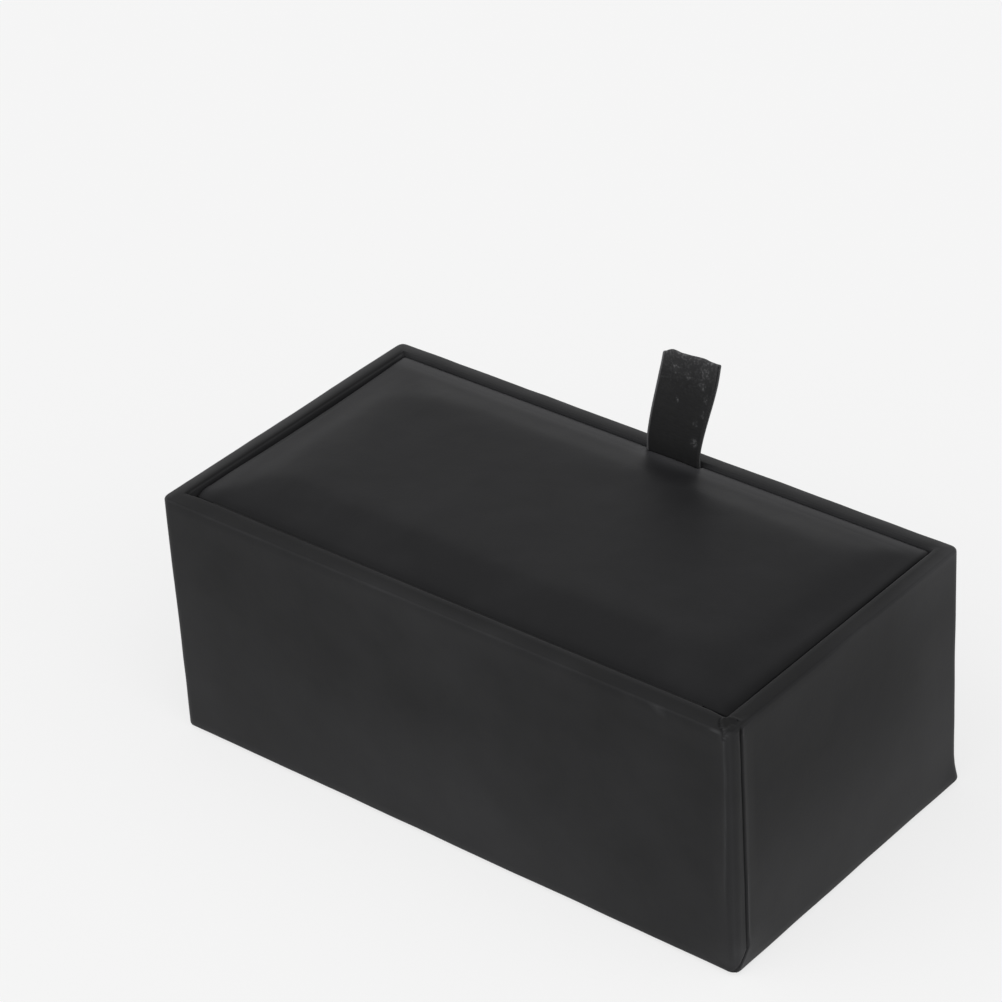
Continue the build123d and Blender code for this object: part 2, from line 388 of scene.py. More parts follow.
class Bench:
    """Where one node tree is put together."""

    def __init__(self, tree):
        self.tree = tree
        tree.nodes.clear()

    def node(self, kind, sockets=None, output=0, stops=None, **settings):
        made = self.tree.nodes.new(kind)
        for key, value in settings.items():
            setattr(made, key, value)
        if stops:
            ramp_stops = made.color_ramp.elements
            while len(ramp_stops) < len(stops):
                ramp_stops.new(0.5)
            for stop, (place, tone) in zip(ramp_stops, stops):
                stop.position = place
                stop.color = (tone, tone, tone, 1)
        for key, value in (sockets or {}).items():
            if isinstance(value, Wire):
                self.tree.links.new(value.socket, made.inputs[key])
            else:
                made.inputs[key].default_value = value
        return Wire(self, made.outputs[output]) if made.outputs else None

    def math(self, operation, first, second):
        return self.node("ShaderNodeMath", {0: first, 1: second}, operation=operation)

    def tint(self, share, first, second):
        """Colour that goes from first to second as share goes from 0 to 1."""
        return self.node(
            "ShaderNodeMix",
            {0: share, 6: (*first, 1), 7: (*second, 1)},
            output=2,
            data_type="RGBA",
        )

    def place(self, stretch=(1, 1, 1)):
        """Place on the object, in millimetres, stretched if the pattern needs it."""
        raw = self.node("ShaderNodeTexCoord", output=3)
        scale = [1000 * share for share in stretch]
        return self.node("ShaderNodeMapping", {0: raw, 3: scale})

    def noise(self, size, detail=2.0, stretch=(1, 1, 1), roughness=0.5):
        return self.node(
            "ShaderNodeTexNoise",
            {
                "Vector": self.place(stretch),
                "Scale": 1 / size,
                "Detail": detail,
                "Roughness": roughness,
            },
        )

    def cells(self, size, feature="F1", stretch=(1, 1, 1), output=0):
        return self.node(
            "ShaderNodeTexVoronoi",
            {"Vector": self.place(stretch), "Scale": 1 / size},
            output=output,
            feature=feature,
        )

    def point_value(self, name):
        return self.node("ShaderNodeAttribute", output=2, attribute_name=name)

    def bump(self, height, depth, strength=1.0, over=None):
        sockets = {"Height": height, "Distance": depth, "Strength": strength}
        if over:
            sockets["Normal"] = over
        return self.node("ShaderNodeBump", sockets)


def finish_of(name, mix):
    """A material whose Principled sockets are what mix gives: values, or wires."""
    material = bpy.data.materials.new(name)
    material.use_nodes = True
    bench = Bench(material.node_tree)
    sockets = mix(bench)
    # painted shade: where the shade value says, the surface is mixed towards a black diffuse
    hollow = sockets.pop("hollow", None)
    surface = bench.node("ShaderNodeBsdfPrincipled", sockets)
    if hollow:
        dark = bench.node("ShaderNodeBsdfDiffuse", {"Color": (0.001, 0.001, 0.001, 1)})
        surface = bench.node("ShaderNodeMixShader", {0: hollow, 1: surface, 2: dark})
    bench.node("ShaderNodeOutputMaterial", {"Surface": surface})
    return material


def leatherette(base, worn_and_lit, roughness, grain, gloss):
    """Coated black sheet: fine pebbled grain, cloudy sheen; paler where its point values give real
    rubbing, painted light and painted highlights, and mixed towards black by painted shade.
    """

    def mix(bench):
        cloud = bench.noise(9.0, 3.0)
        pebble = bench.cells(grain)
        pores = bench.noise(grain * 0.45, 2.0)
        wear_and_light = bench.point_value("wear_and_light")
        shade = bench.point_value("shade")
        lint_cell = bench.cells(5.5)
        lint = (1 - (lint_cell * 60).clipped()) * bench.noise(13.0, 0.0).above(0.56)
        light = (wear_and_light * 0.75 + (cloud - 0.5) * 0.35 + lint * 0.35).clipped()
        grain_bump = bench.bump(pebble + pores * 0.5, 0.02 * MM, 0.22)
        soft_bump = bench.bump(bench.noise(3.2, 2.0), 0.08 * MM, 0.25, grain_bump)
        return {
            "Base Color": bench.tint(light, base, worn_and_lit),
            "Roughness": roughness + (cloud - 0.5) * 0.12 - wear_and_light * 0.08,
            "Normal": soft_bump,
            "Specular IOR Level": gloss,
            "hollow": shade,
        }

    return mix


def pile_cloth(base, tip, sheen):
    """Short dense pile that lies unevenly and pales at grazing light."""

    def mix(bench):
        lie = bench.noise(4.0, 3.0)
        fibre = bench.noise(0.22, 2.0)
        colour = bench.tint((lie * 0.7 + fibre * 0.5 - 0.3).clipped(), base, tip)
        return {
            "Base Color": colour,
            "Roughness": 0.9,
            "Normal": bench.bump(fibre, 0.12 * MM, 0.8),
            "Sheen Weight": sheen,
            "Sheen Roughness": 0.4,
            "Specular IOR Level": 0.1,
        }

    return mix


def satin_cloth(base, tip):
    """Smooth woven lining with long floats across X."""

    def mix(bench):
        floats = bench.noise(0.3, 1.0, stretch=(0.15, 1, 1))
        sway = bench.noise(6.0, 2.0, stretch=(1, 0.4, 1))
        colour = bench.tint((floats * 0.6 + sway * 0.5 - 0.1).clipped(), base, tip)
        return {
            "Base Color": colour,
            "Roughness": 0.34 + (sway - 0.5) * 0.15,
            "Normal": bench.bump(floats, 0.03 * MM, 0.5),
            "Specular IOR Level": 0.45,
            "Anisotropic": 0.4,
        }

    return mix


def ribbon_cloth(base, tip):
    """Close woven satin ribbon: fine weft ribs, firm selvedges, crimped floats; its colour is made
    paler for painted highlights along the edges, painted glints and a painted sheen.
    """

    def mix(bench):
        weft = bench.noise(0.2, 1.0, stretch=(0.25, 1, 1))
        warp = bench.noise(0.16, 1.0, stretch=(1, 1, 0.2))
        edge_highlight = bench.point_value("edge_highlight")
        crimp_glint = bench.point_value("crimp_glint")
        glint = (bench.noise(0.35, 2.0) - 0.5).clipped() * 6
        sheen = bench.point_value("sheen")
        bright = (crimp_glint * glint.clipped() + crimp_glint * 0.12 + edge_highlight * 0.45 + sheen).clipped()
        return {
            "Base Color": bench.tint((bright + (weft - 0.5) * 0.06).clipped(), base, tip),
            "Roughness": 0.62 - crimp_glint * 0.2,
            "Normal": bench.bump(weft + warp * 0.7, 0.03 * MM, 0.4),
            "Sheen Weight": 0.04,
            "Specular IOR Level": 0.12,
        }

    return mix


def board_stock(base, fleck):
    """Pressed paper board: pale and dark fibres, cut edges in layers."""

    def mix(bench):
        fibres = bench.noise(0.5, 4.0, stretch=(0.3, 1, 1))
        layers = bench.noise(0.2, 2.0, stretch=(0.05, 0.05, 1))
        flecks = bench.noise(0.9, 1.0).above(0.62)
        colour = bench.tint((fibres * 0.6 + layers * 0.3 + flecks * 0.3).clipped(), base, fleck)
        return {
            "Base Color": colour,
            "Roughness": 0.9,
            "Normal": bench.bump(fibres, 0.05 * MM, 0.5),
            "Specular IOR Level": 0.15,
        }

    return mix


def foam_stock(base, wall):
    """Open-celled foam: small round cells between paler walls, darker towards each cell's middle as
    painted shade.
    """

    def mix(bench):
        cell = bench.cells(0.6)
        colour = bench.tint((cell * 1.3).clipped(), base, wall)
        return {
            "Base Color": colour,
            "Roughness": 0.95,
            "Normal": bench.bump(cell, 0.2 * MM, 0.9),
            "Specular IOR Level": 0.1,
        }

    return mix


LEATHERETTE = finish_of(
    "black_leatherette",
    leatherette((0.0135, 0.0135, 0.0142), (0.065, 0.065, 0.068), 0.48, 0.3, 0.11),
)
PAD_LEATHERETTE = finish_of(
    "black_pad_leatherette",
    leatherette((0.011, 0.011, 0.012), (0.06, 0.06, 0.063), 0.48, 0.26, 0.1),
)
BASE_PAPER = finish_of(
    "black_base_paper",
    leatherette((0.013, 0.013, 0.014), (0.05, 0.05, 0.052), 0.7, 0.45, 0.1),
)
VELVET_PILE = finish_of(
    "black_velvet", pile_cloth((0.004, 0.004, 0.005), (0.02, 0.02, 0.023), 0.35)
)
SATIN = finish_of("black_satin", satin_cloth((0.01, 0.01, 0.011), (0.035, 0.035, 0.038)))
RIBBON = finish_of("black_ribbon", ribbon_cloth((0.0135, 0.0135, 0.014), (0.17, 0.17, 0.175)))
GREYBOARD = finish_of("greyboard", board_stock((0.3, 0.27, 0.23), (0.5, 0.46, 0.4)))
LINER_CARD = finish_of("liner_card", board_stock((0.24, 0.22, 0.2), (0.4, 0.38, 0.35)))
FOAM = finish_of("grey_foam", foam_stock((0.03, 0.03, 0.032), (0.12, 0.12, 0.125)))


# ---- the walls' covering -------------------------------------------------------------------

CORNER_RADIUS = 1.1 * MM  # upright edges
RIM_OUTER_BEVEL = 0.34 * MM
RIM_MOUTH_BEVEL = 0.36 * MM
FOOT_BEVEL = 0.42 * MM
FOOT_LIFT = Vector((0.45, 0.35, 0.62)) * MM  # how far the rear right foot has come away
FOOT_REACH = 5 * MM

# The sheet's two ends meet on the right end wall, just behind the front corner. The slit
# leans a little, and near the foot it runs to the corner. Points are (Y, Z).
SEAM_TOP = Vector((-20.72 * MM, 34.2 * MM))
SEAM_BEND = Vector((-20.42 * MM, 2.8 * MM))
SEAM_FOOT = Vector((-22.3 * MM, 0.35 * MM))
SEAM_LIP = 0.27 * MM  # the raised lip, behind the slit's line
SEAM_CUTS = (-0.5, -0.3, -0.2, -0.13, -0.05, 0.05, 0.13, 0.2, 0.3, 0.5)
CREASE_X = 41.83 * MM  # where the end's flap stops on the front wall
CREASE_CUTS = (-0.6, -0.45, -0.35, -0.25, -0.15, -0.05, 0.05, 0.15, 0.25, 0.35)

# The corner's top, where the sheet's end is tucked, in millimetres of (X, Y): the flap's
# curled edge and the edge over it, with painted highlights; the dip beside the curl and the
# mitre's pit, with painted shade; and two pale spots below the curl.
TUCK_LOW = (39.6 * MM, -22.4 * MM, 32.9 * MM)
TUCK_HIGH = (42.5 * MM, -19.4 * MM, 34.2 * MM)
TUCK_CURL = [(40.35, -20.3), (40.2, -20.75), (40.5, -21.2), (41.05, -21.75), (41.8, -22.3)]
TUCK_MITRE = [(40.35, -20.3), (41.05, -19.9), (42.0, -19.8)]
TUCK_SHADOW = [(40.05, -20.8), (40.3, -21.3), (40.85, -21.85), (41.6, -22.35)]
TUCK_PIT_SHADE = (41.6, -20.05)
TUCK_PALE_SPOTS = [(42.0, 33.75), (41.8, 33.4)]  # in (X, Z), on the front
RIM_GLINTS = [(40.7, 1.1), (33.0, 0.6), (29.2, 0.8)]  # along the front rim: X, half length


def seam_distance(co):
    """How far behind the seam's line a point of the end wall is."""
    start, end = (SEAM_TOP, SEAM_BEND) if co.z > SEAM_BEND.y else (SEAM_BEND, SEAM_FOOT)
    along = (end - start).normalized()
    offset = Vector((co.y, co.z)) - start
    return along.x * offset.y - along.y * offset.x


def crease_distance(co):
    """How far past the crease where the end's flap stops on the front wall."""
    return co.x - CREASE_X + 0.022 * abs(co.z - 27.5 * MM) - 0.03 * MM * sin(co.z * 420)


def trail(co, points, width):
    """1 on a line across the rim's top, falling to 0 at the given distance from it."""
    here = Vector((co.x, co.y))
    nearest = width
    for start, end in zip(points, points[1:]):
        start, end = Vector(start) * MM, Vector(end) * MM
        share = (here - start).dot(end - start) / (end - start).length_squared
        foot = start.lerp(end, max(0.0, min(1.0, share)))
        nearest = min(nearest, (here - foot).length)
    return hump(nearest, width)


def out_of_mouth(co):
    """How far outside the lid's opening a point of the rim or the walls is."""
    return max(abs(co.x) - MOUTH_X, abs(co.y) - MOUTH_Y)


def by_seam(co):
    """Is this point of the covering within reach of the seam?"""
    return co.x > 40.2 * MM and co.y < -17.5 * MM


def on_tuck(co):
    """Is this point on top of the corner where the sheet's end is tucked?"""
    return co.x > TUCK_LOW[0] and co.y < TUCK_HIGH[1] and co.z > 33.0 * MM


def cut_covering():
    """The covering's plain form: a shell round the walls, turned in at the rim and the foot."""
    low, high = COVER_LOW, COVER_HIGH
    cover = block("box_covering", low, high)
    open_mesh(cover)
    choose(cover, "FACE", lambda f: f.normal.z > 0.9)
    bpy.ops.mesh.inset(thickness=RIM_WIDTH, use_even_offset=True)
    bpy.ops.mesh.extrude_region_move(TRANSFORM_OT_translate={"value": (0, 0, -TURN_IN)})
    bpy.ops.mesh.delete(type="FACE")
    choose(cover, "FACE", lambda f: f.normal.z < -0.9)
    bpy.ops.mesh.inset(thickness=TURN_UNDER, use_even_offset=True)
    bpy.ops.mesh.delete(type="FACE")
    choose(cover, "EDGE", lambda e: runs(e, 2) and abs(middle(e).x) > MOUTH_X + MM)
    bpy.ops.mesh.bevel(offset=CORNER_RADIUS, segments=6, affect="EDGES")

    def outer(edge, z):
        place = middle(edge)
        on_side = abs(place.x) > high.x - 1.2 * MM or abs(place.y) > high.y - 1.2 * MM
        return level(edge, z) and on_side and sharp(edge)

    def mouth(edge):
        place = middle(edge)
        inside = abs(place.x) < MOUTH_X + 0.1 * MM and abs(place.y) < MOUTH_Y + 0.1 * MM
        return inside and abs(place.z - high.z) < 1e-5 and sharp(edge)

    choose(cover, "EDGE", lambda e: outer(e, high.z))
    bpy.ops.mesh.bevel(offset=RIM_OUTER_BEVEL, segments=4, affect="EDGES")
    choose(cover, "EDGE", lambda e: outer(e, low.z))
    bpy.ops.mesh.bevel(offset=FOOT_BEVEL, segments=3, affect="EDGES")
    choose(cover, "EDGE", mouth)
    bpy.ops.mesh.bevel(offset=RIM_MOUTH_BEVEL, segments=4, affect="EDGES")
    slice_evenly(cover, 1.4 * MM, low, high)
    slice_seam_corner(cover)
    close_mesh()
    return cover


def slice_seam_corner(cover):
    """Finer edges in the open covering: along the slit, at the crease and on the tuck."""

    def above_bend(face):
        return by_seam(middle(face)) and middle(face).z > SEAM_BEND.y

    def below_bend(face):
        return by_seam(middle(face)) and middle(face).z <= SEAM_BEND.y

    def at_crease(face):
        return middle(face).x > 39.5 * MM and middle(face).y < -19.5 * MM

    def at_tuck(face):
        place = middle(face)
        return place.x > TUCK_LOW[0] and place.y < TUCK_HIGH[1] and place.z > TUCK_LOW[2]

    stretches = ((SEAM_TOP, SEAM_BEND, above_bend), (SEAM_BEND, SEAM_FOOT, below_bend))
    for shift in SEAM_CUTS:
        across = shift * MM
        for start, end, test in stretches:
            along = (end - start).normalized()
            normal = Vector((0, -along.y, along.x))
            slice_mesh(cover, Vector((0, start.x, start.y)) + normal * across, normal, test)
    for shift in CREASE_CUTS:
        slice_mesh(cover, ((41.8 + shift) * MM, 0, 0), (1, 0, 0), at_crease)
    slice_evenly(cover, 0.16 * MM, TUCK_LOW, TUCK_HIGH, test=at_tuck)


def seam_shift(co, normal):
    """The slit with its raised lip, the tuck on the corner's top, and the flap's crease."""
    move = Vector()
    if by_seam(co):
        gap = seam_distance(co)
        if abs(gap) < 0.8 * MM and normal.x > 0.5:
            slit = -0.2 * hump(gap, 0.19 * MM)
            lip = 0.05 * hump(gap - SEAM_LIP, 0.22 * MM)
            move += normal * (slit + lip) * MM * ramp(RIM_Z - co.z, 0.15 * MM, 0.5 * MM)
    if on_tuck(co):
        move.z += 0.07 * MM * trail(co, TUCK_CURL, 0.22 * MM)
        move.z += 0.05 * MM * trail(co, TUCK_MITRE, 0.2 * MM)
        move.z -= 0.08 * MM * trail(co, TUCK_SHADOW, 0.18 * MM)
    if co.x > 39.8 * MM and co.y < -21.0 * MM:
        fold = crease_distance(co)
        strength = ramp(co.z, 8 * MM, 13 * MM)
        move += normal * 0.07 * MM * strength * hump(fold, 0.3 * MM)
        if fold > 0:  # the flap is a second thickness of sheet
            move += normal * 0.03 * MM * strength
    return move


def rim_shift(co):
    """The rim falls a little outwards and dips; its left and front mouth edges stand proud."""
    move = Vector()
    if co.z <= RIM_Z - 2 * MM:
        return move
    out = out_of_mouth(co)
    dip = noise.noise(co * 160) + 0.5 * noise.noise(co * 420)
    move.z -= 0.14 * MM * ramp(out, 0.3 * MM, RIM_WIDTH)
    move.z += 0.05 * MM * dip * ramp(out, 0.2 * MM, 0.8 * MM)
    if out < 0.6 * MM and co.x < 0 and abs(co.y) < MOUTH_Y + 0.2 * MM:
        move.x += 0.1 * MM * ramp(co.z, RIM_Z - 2 * MM, RIM_Z - 0.4 * MM)
    if co.y < -MOUTH_Y + 0.1 * MM and co.z > RIM_Z - 0.5 * MM:
        proud = (1 - ramp(out, 0.3 * MM, 1.4 * MM)) * ramp(MOUTH_X - abs(co.x), 0, 2 * MM)
        move += Vector((0, 0.06, 0.12)) * MM * proud
    return move


def cover_shift(co, normal):
    """All that the sheet does beyond its plain form."""
    move = seam_shift(co, normal) + rim_shift(co)
    foot = (co - Vector((COVER_HIGH.x, COVER_HIGH.y, COVER_LOW.z))).length
    if foot < FOOT_REACH:
        move += FOOT_LIFT * (1 - foot / FOOT_REACH) ** 2
    return move


def cover_fullness(co, normal):
    """The double sheet over the front and right walls stands a little proud of the board."""
    move = Vector()
    if co.y < -MOUTH_Y:
        move.y -= 0.35 * MM * (-MOUTH_Y - co.y) / RIM_WIDTH
    if co.x > MOUTH_X:
        move.x += 0.2 * MM * (co.x - MOUTH_X) / RIM_WIDTH
    return move


def edge_wear_and_highlights(co):
    """Edges paler from rubbing, with painted highlights along them: the rim's outer edge, brightest
    on the far left and rear edges, and its mouth, in broken lines, and the upright corners.
    """
    high = COVER_HIGH
    edge_x, edge_y = high.x - abs(co.x), high.y - abs(co.y)
    broken = 0.35 + 0.9 * max(0.0, noise.noise(co * 230) + 0.15)
    outer = 0.0
    if min(edge_x, edge_y) < 0.9 * MM:
        far = co.x < -high.x + 0.9 * MM or co.y > high.y - 0.9 * MM
        strength, width = (1.0, 0.42 * MM) if far else (0.32, 0.24 * MM)
        outer = 0.8 * hump(RIM_Z - co.z - 0.28 * MM, width) * broken * strength
    mouth = 0.0
    if co.z > RIM_Z - 0.5 * MM:
        if co.y < -MOUTH_Y + MM:
            strength = 0.1 + 0.35 * ramp(co.x, -30 * MM, 15 * MM)
        elif co.x < -MOUTH_X + MM:
            strength = 0.0
        else:
            strength = 0.8 if co.x > MOUTH_X - MM else 0.3
        mouth = 0.7 * hump(out_of_mouth(co) - 0.12 * MM, 0.22 * MM) * broken * strength
    upright = 0.1 * hump(edge_x - 0.3 * MM, 0.5 * MM) * hump(edge_y - 0.3 * MM, 0.5 * MM)
    return outer + mouth + upright


def wall_painted_light(co):
    """Painted light on the walls: paler towards the foot, where the pale floor's reflection falls, on
    the left end and towards the rear, in a band under the right rim, in two soft patches on the
    front, and at the foot by the seam's corner.
    """
    high = COVER_HIGH
    on_right = co.x > high.x - 0.5 * MM
    painted_light = (0.32 if on_right else 0.22) * max(0.0, 1 - co.z / (26 * MM))
    painted_light += 0.1 * ramp(-co.x, high.x - 7 * MM, high.x)
    if high.x - abs(co.x) < 0.5 * MM:
        painted_light += 0.12 * ramp(co.y, 0, high.y)
    if high.y - abs(co.y) < 0.5 * MM:
        painted_light += 0.08
    if on_right:  # a pale band under the rim, wider to the rear
        painted_light += 0.2 * ramp(co.z, 26 * MM, 33 * MM) * ramp(co.y, 5 * MM, 18 * MM)
        painted_light += 0.16 * ramp(co.z, 32.4 * MM, 33.4 * MM) * ramp(co.y, -14 * MM, 5 * MM)
    if co.y < -high.y + 0.5 * MM:  # two soft patches on the front
        painted_light += 0.17 * hump(co.x, 34 * MM) * hump(co.z - 5 * MM, 16 * MM)
        painted_light += 0.13 * hump(co.x, 22 * MM) * hump(co.z - 29 * MM, 10 * MM)
    if co.y < -high.y + 0.2 * MM:
        painted_light += 0.06 * ramp(co.z, 30.5 * MM, 32 * MM)
    to_corner = hump(hypot(co.x - high.x, co.y - COVER_LOW.y), 9 * MM)
    painted_light += (0.6 if on_right else 0.3) * to_corner * (1 - ramp(co.z, MM, 6 * MM))
    return painted_light


def rim_painted_light(co):
    """Painted light on the rim: on the right towards the rear, on the inner faces of the rear and
    left rims where shade would fall, and along the rear rim's top.
    """
    painted_light = 0.0
    at_rear, at_left = co.y > MOUTH_Y - MM, co.x < -MOUTH_X + MM
    if co.x > MOUTH_X and co.z > RIM_Z - 0.5 * MM:
        painted_light += 0.05 * ramp(co.y, -2 * MM, 4 * MM) + 0.25 * ramp(co.y, 9 * MM, 20 * MM)
    if out_of_mouth(co) < 0.05 * MM and co.z > RIM_Z - 2 * MM and (at_rear or at_left):
        painted_light += 0.9 if at_rear else 0.35 + 0.9 * ramp(RIM_Z - co.z, 0.2 * MM, 0.9 * MM)
    elif MOUTH_Y < co.y < COVER_HIGH.y - 0.3 * MM and co.z > RIM_Z - 0.6 * MM:
        painted_light += 0.14
    return painted_light


def seam_wear_and_highlights(co):
    """Painted light and highlights at the sheet's end and the front rim: paler on its flap, broken
    highlights along the crease, a highlight on the slit's lip, highlight lines on the tuck and two
    pale spots below it, and glints along the front rim's outer edge.
    """
    flap, highlights = 0.0, 0.0
    if co.y < -21.3 * MM or co.x > COVER_HIGH.x - 1.2 * MM:
        to_corner = hump(hypot(co.x - 42.3 * MM, co.y + 22.2 * MM), 1.7 * MM)
        before = 1 - ramp(seam_distance(co), -0.3 * MM, 0.0)
        flap = 0.24 * to_corner * before * ramp(RIM_Z - co.z, 0.15 * MM, 0.5 * MM)
    if co.x > 39.8 * MM and co.y < -21.6 * MM:
        dashes = 0.55 + 0.8 * max(0.0, noise.noise(Vector((7.3, 2.1, co.z * 700))) + 0.1)
        fold = hump(crease_distance(co), 0.2 * MM)
        highlights = 0.62 * fold * dashes * ramp(co.z, 8 * MM, 24 * MM)
    if by_seam(co):
        highlights += 0.3 * hump(seam_distance(co) - SEAM_LIP, 0.2 * MM)
    if on_tuck(co):
        highlights = 0.6 * trail(co, TUCK_CURL, 0.15 * MM) + 0.5 * trail(co, TUCK_MITRE, 0.14 * MM)
        if co.y < -22.2 * MM:
            for x, z in TUCK_PALE_SPOTS:
                highlights += hump(hypot(co.x - x * MM, co.z - z * MM), 0.2 * MM)
    if co.y < -COVER_HIGH.y + 0.3 * MM:
        glints = sum(hump(co.x - x * MM, reach * MM) for x, reach in RIM_GLINTS)
        highlights += 0.8 * glints * hump(RIM_Z - co.z - 0.4 * MM, 0.25 * MM)
    return flap + highlights


def cover_wear_and_light(co, normal):
    """How much paler the sheet is made, from 0 to 1: real rubbing, painted light and painted
    highlights.
    """
    return min(1.0, edge_wear_and_highlights(co) + wall_painted_light(co) + rim_painted_light(co) + seam_wear_and_highlights(co))


def rim_shade(co, normal):
    """Painted shade on the rim's flat top, and in the crevices at its left and front mouth edges."""
    out = out_of_mouth(co)
    dark = 0.0
    if co.z > RIM_Z - 0.6 * MM and normal.z > 0.8:
        dark = 0.12 * ramp(out, 0.3 * MM, 0.6 * MM)
        if co.x > MOUTH_X:
            dark += 0.05 * (1 - ramp(co.y, -6 * MM, 3 * MM))
    if co.x < 0 and out > 0.02 * MM and co.z > RIM_Z - 0.5 * MM:
        if co.x < -MOUTH_X and abs(co.y) < MOUTH_Y + 0.3 * MM:
            dark = 0.4 * ramp(-out, -1.05 * MM, -0.25 * MM)
        elif co.y < -MOUTH_Y:
            dark = max(dark, 0.25 * ramp(-out, -MM, 0) * ramp(-co.x, 0, 30 * MM))
    return dark


def slit_shade(co):
    """The slit itself, and a soft shadow in front of it."""
    gap = seam_distance(co)
    return max(0.62 * hump(gap + 0.03 * MM, 0.24 * MM), 0.15 * hump(gap + 0.42 * MM, 0.5 * MM))


def tuck_shade(co):
    """Painted shade beside the curl, in the pit in the mitre, and on the fold between the two."""
    pit_x, pit_y = TUCK_PIT_SHADE
    dark = 0.6 * trail(co, TUCK_SHADOW, 0.18 * MM)
    dark = max(dark, 0.9 * hump(hypot(co.x - pit_x * MM, co.y - pit_y * MM), 0.22 * MM))
    if co.x > 40.4 * MM and co.y < -20.1 * MM and co.z > RIM_Z - 0.45 * MM:
        reach = 1 - ramp(hypot(co.x - 41 * MM, co.y + 20.7 * MM), 0.7 * MM, 1.5 * MM)
        dark = max(dark, 0.34 * reach * ramp(co.x + co.y, 18.9 * MM, 19.3 * MM))
    return dark


def cover_shade(co, normal):
    """Where little light reaches the sheet, as a share towards black."""
    in_slit = by_seam(co) and co.z < RIM_Z - 0.25 * MM
    dark = slit_shade(co) if in_slit else rim_shade(co, normal)
    if on_tuck(co):
        dark = max(dark, tuck_shade(co))
    if co.x > COVER_HIGH.x - 0.3 * MM and co.z < RIM_Z - 1.5 * MM and co.y > -19 * MM:
        dark = 0.16 * hump(co.z - 22 * MM, 16 * MM) * (1 - ramp(co.y, 8 * MM, 18 * MM))
    if co.y < -21.8 * MM and co.x < -24 * MM:
        under_rim = hump(RIM_Z - co.z - 0.75 * MM, 0.3 * MM)
        dark = max(dark, 0.55 * under_rim * ramp(-co.x, 24 * MM, 32 * MM))
    return dark


def make_box_covering():
    """The one sheet round the walls, over the rim and under the base."""
    cover = cut_covering()

    def outside(co):
        return 1.0 if out_of_mouth(co) > 0.5 * MM else 0.0

    ripple(cover, 14 * MM, 0.12 * MM, outside)
    ripple(cover, 4.5 * MM, 0.05 * MM, outside)
    press(cover, cover_shift)
    apply_modifier(cover, "SOLIDIFY", thickness=SKIN, offset=-1, use_quality_normals=True)
    mark(cover, "wear_and_light", cover_wear_and_light)
    mark(cover, "shade", cover_shade)
    press(cover, cover_fullness)
    smooth(cover)
    finish_piece(cover, "box", LEATHERETTE, "leatherette", "wall_wrap")


# ---- the padded lid --------------------------------------------------------------------------

PAD_EDGE_Z = PAD_HIGH.z - CROWN
PADDING_INSET = 0.38 * MM  # padding inside its cover


def pad_inset(co):
    """How far inside the lid's outline a point of its top is."""
    return min(PAD_HIGH.x - abs(co.x), PAD_HIGH.y - co.y, co.y - PAD_LOW.y)


def cut_pad():
    """The lid cover's plain form, with finer edges just inside its outline."""
    low, high = PAD_LOW, PAD_HIGH
    cover = block("lid_leatherette_cover", low, (high.x, high.y, PAD_EDGE_Z))
    open_mesh(cover)
    choose(cover, "EDGE", lambda e: runs(e, 2))
    bpy.ops.mesh.bevel(offset=0.5 * MM, segments=4, affect="EDGES")
    choose(cover, "EDGE", lambda e: level(e, PAD_EDGE_Z))
    bpy.ops.mesh.bevel(offset=0.3 * MM, segments=3, affect="EDGES")
    slice_evenly(cover, 1.0 * MM, low, high, axes=(0, 1))
    for inset in (0.36 * MM, 0.62 * MM):
        for side in (low.x + inset, high.x - inset):
            slice_mesh(cover, (side, 0, 0), (1, 0, 0))
        for side in (low.y + inset, high.y - inset):
            slice_mesh(cover, (0, side, 0), (0, 1, 0))
    slice_evenly(cover, 1.0 * MM, low, Vector((0, 0, PAD_EDGE_Z)), axes=(2,))
    close_mesh()
    return cover


def pad_crown(co, normal):
    """The padding rises fast from the edges and levels out, with soft hips."""
    low, high = PAD_LOW, PAD_HIGH
    if co.z < PAD_EDGE_Z - 0.9 * MM:
        return None

    def rise(inset, band):
        return 1 - (1 - max(0.0, min(1.0, inset / band))) ** 2

    ends = rise(high.x - abs(co.x), CROWN_BAND + 1.5 * MM)
    sides = rise(min(high.y - co.y, co.y - low.y), CROWN_BAND - 1.0 * MM)
    share = 0.5 * (ends + sides - sqrt((ends - sides) ** 2 + 0.005)) / 0.965
    lift = (CROWN - 0.2 * MM) * share + 0.06 * MM + 0.2 * MM * ramp(co.y, low.y, low.y + 7 * MM)
    lift -= 0.36 * MM * (1 - ramp(co.y - low.y, 0.3 * MM, 1.5 * MM))  # room to swing open
    return Vector((0, 0, lift * ramp(co.z, PAD_EDGE_Z - 0.9 * MM, PAD_EDGE_Z - 0.1 * MM)))


def pad_ease(co, normal):
    """The padding bellies out over its board's edges, but not where the ribbon comes up."""
    low, high = PAD_LOW, PAD_HIGH
    move = Vector()
    side = hump(co.z - (PAD_EDGE_Z + 0.1 * MM), 2.6 * MM)
    if co.x > high.x - 0.9 * MM:
        move.x += 0.5 * MM * side
    if co.x < low.x + 0.9 * MM:
        upper = hump(co.z - (PAD_EDGE_Z + 0.4 * MM), 1.7 * MM)
        waist = 1 - (co.y / (17 * MM)) ** 2
        move.x += MM * (0.38 * waist * upper - 0.2 * side)
    if co.x < low.x + 2 * MM and co.y < low.y + 2 * MM and co.z > PAD_EDGE_Z - MM:
        move.x -= 0.12 * MM  # fills the mouth's corner
    if co.y > high.y - 0.9 * MM:
        move.y += 0.6 * MM * side * ramp(abs(co.x - BEND.x), 3.92 * MM, 4.25 * MM)
    if co.z > PAD_EDGE_Z - MM:
        near_ribbon = hump(co.x - BEND.x, 5.0 * MM) * hump(co.y - high.y, 1.2 * MM)
        move.z += 0.12 * MM * near_ribbon
    return move


